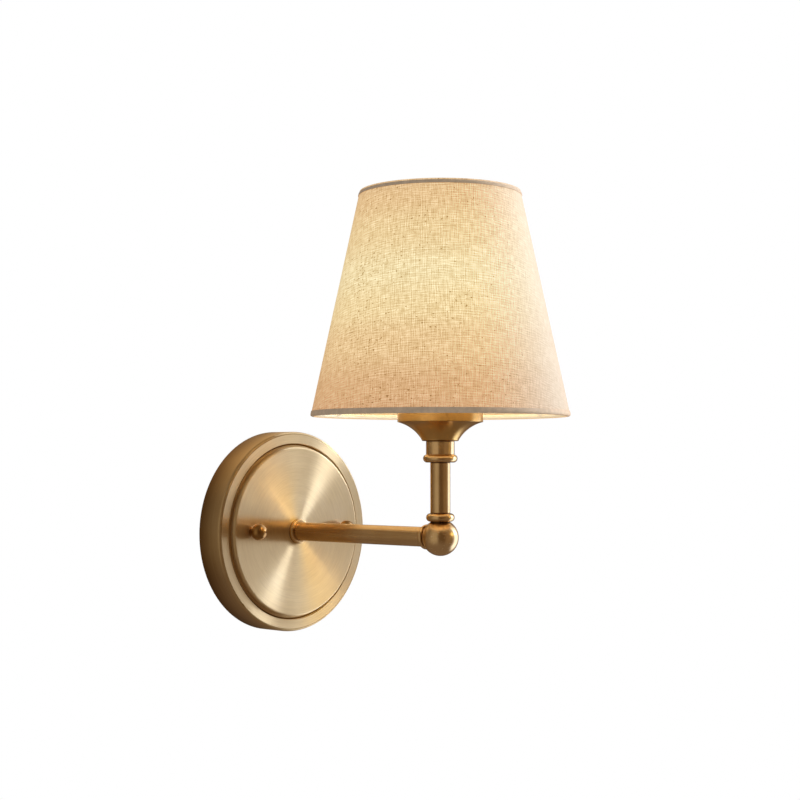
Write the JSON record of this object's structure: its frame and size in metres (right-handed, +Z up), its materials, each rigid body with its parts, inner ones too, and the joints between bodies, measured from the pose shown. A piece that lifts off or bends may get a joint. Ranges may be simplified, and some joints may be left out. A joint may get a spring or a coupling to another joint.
{
  "type": "wall sconce",
  "caption": "Wall light: round stepped plate, straight arm with a ball elbow, turned stem, cup and a tapered fabric shade round a bulb that lifts out of its holder.",
  "frame": {"origin": "middle of the wall plate, on the wall plane", "axes": "+Z up, +Y into the wall, the light stands out along -Y, the stem and shade axis lies at y = -0.145"},
  "size_m": [0.1564, 0.2232, 0.2729],
  "materials": {
    "aged_brass": "aged brass, brushed and lacquered",
    "zinc_steel": "zinc plated",
    "earth_green": "green passivated",
    "nylon": "natural nylon",
    "bright_brass": "bright stamped brass",
    "phenolic": "black phenolic",
    "ceramic": "white glazed ceramic",
    "frame_wire": "white coated steel wire",
    "lining": "white self-adhesive shade lining",
    "linen": "natural slub linen",
    "binding": "taupe woven edge binding",
    "lead_brown": "brown insulated lead",
    "lead_blue": "blue insulated lead",
    "frosted_glass": "frosted glass",
    "nickel": "nickel plated",
    "clear_glass": "clear glass",
    "filament": "phosphor coated filament"
  },
  "bodies": {
    "fixture": {"crossbar": "zinc_steel", "mounting_studs": "zinc_steel", "stud_nuts": "zinc_steel", "ground_screw": "earth_green", "terminal_block": "nylon", "terminal_inserts": "bright_brass", "terminal_screws": "zinc_steel", "block_screw": "zinc_steel", "canopy": "aged_brass", "cap_nut_left": "aged_brass", "cap_nut_right": "aged_brass", "arm_collar": "aged_brass", "arm_nipple": "zinc_steel", "canopy_washer": "zinc_steel", "canopy_nut": "zinc_steel", "wire_bushing": "phenolic", "arm_tube": "aged_brass", "arm_end_bead": "aged_brass", "elbow_nipple_arm": "zinc_steel", "elbow_ball": "aged_brass", "elbow_nipple_stem": "zinc_steel", "stem_bead": "aged_brass", "stem_tube": "aged_brass", "neck_coupling": "aged_brass", "socket_nipple": "zinc_steel", "gallery": "aged_brass", "gallery_nut": "zinc_steel", "socket_cap": "phenolic", "socket_body": "phenolic", "socket_core": "ceramic", "screw_shell": "bright_brass", "centre_contact": "bright_brass", "socket_terminals": "bright_brass", "shade_ring": "phenolic", "shade_fitter": "frame_wire", "top_wire_ring": "frame_wire", "shade_liner": "lining", "shade_fabric": "linen", "hem_top": "binding", "hem_bottom": "binding", "wire_live": "lead_brown", "wire_neutral": "lead_blue"},
    "bulb": {"bulb_glass": "frosted_glass", "bulb_cap": "nickel", "bulb_insulator": "phenolic", "bulb_contact": "nickel", "lamp_stem": "clear_glass", "lamp_filaments": "filament"}
  },
  "joints": [
    {"name": "bulb_lift", "type": "slide", "parent": "fixture", "child": "bulb", "axis": [0, 0, 1], "range_m": [0, 0.12]}
  ]
}
